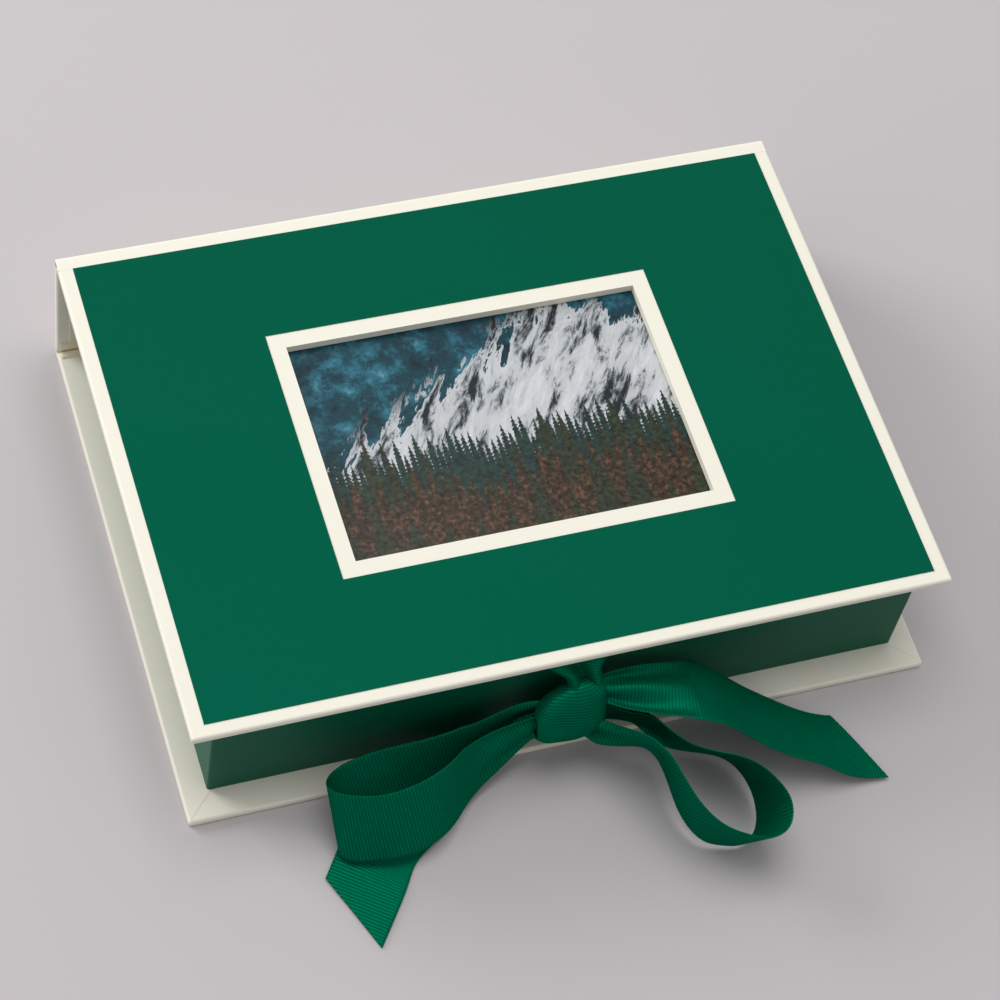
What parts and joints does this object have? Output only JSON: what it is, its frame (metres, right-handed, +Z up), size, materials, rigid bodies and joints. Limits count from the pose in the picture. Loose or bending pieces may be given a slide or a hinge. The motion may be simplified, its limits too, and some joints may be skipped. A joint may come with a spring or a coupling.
{
  "type": "photo storage box",
  "caption": "Paper-covered book-style keepsake box with a print window in its hinged lid, an inner tray and a ribbon tied in a bow at the front.",
  "frame": {"origin": "middle of the flat underside, on the surface that the closed box rests on", "axes": "+Z up, +X along the long side, -Y towards the front where the bow is, the hinged spine at +Y"},
  "size_m": [0.256, 0.2502, 0.0512],
  "materials": {
    "cream_paper": "matte",
    "green_paper": "matte",
    "lining_paper": "matte",
    "grey_board": "matte",
    "print_paper": "satin",
    "grosgrain_ribbon": "matte"
  },
  "bodies": {
    "base": {"base_board": "grey_board", "base_cover_paper": "cream_paper", "base_infill_sheet": "lining_paper", "lower_joint_strip": "cream_paper", "tray_floor_board": "grey_board", "tray_front_wall": "grey_board", "tray_back_wall": "grey_board", "tray_left_wall": "grey_board", "tray_right_wall": "grey_board", "tray_cover_paper": "green_paper", "tray_wall_lining": "lining_paper", "tray_floor_lining": "lining_paper", "base_ribbon_lead": "grosgrain_ribbon", "bow_knot": "grosgrain_ribbon", "bow_left_loop": "grosgrain_ribbon", "bow_right_loop": "grosgrain_ribbon", "bow_left_tail": "grosgrain_ribbon", "bow_right_tail": "grosgrain_ribbon"},
    "spine": {"spine_board": "grey_board", "spine_cover_paper": "cream_paper", "spine_liner_paper": "lining_paper", "upper_joint_strip": "cream_paper"},
    "lid": {"lid_board": "grey_board", "lid_cover_paper": "cream_paper", "lid_panel_paper": "green_paper", "lid_liner_paper": "lining_paper", "pocket_spacer": "grey_board", "pocket_backing": "grey_board", "lid_ribbon_lead": "grosgrain_ribbon"},
    "print": {"photo_print": "print_paper"}
  },
  "joints": [
    {"name": "spine_hinge", "type": "hinge", "parent": "base", "child": "spine", "pos_m": [0, 0.09315, 0.0015], "axis": [-1, 0, 0], "range_deg": [0, 87.25]},
    {"name": "lid_hinge", "type": "hinge", "parent": "spine", "child": "lid", "pos_m": [0, 0.09545, 0.0495], "axis": [-1, 0, 0], "range_deg": [0, 92.74]},
    {"name": "print_slide", "type": "slide", "parent": "lid", "child": "print", "axis": [1, 0, 0], "range_m": [0, 0.05]}
  ]
}
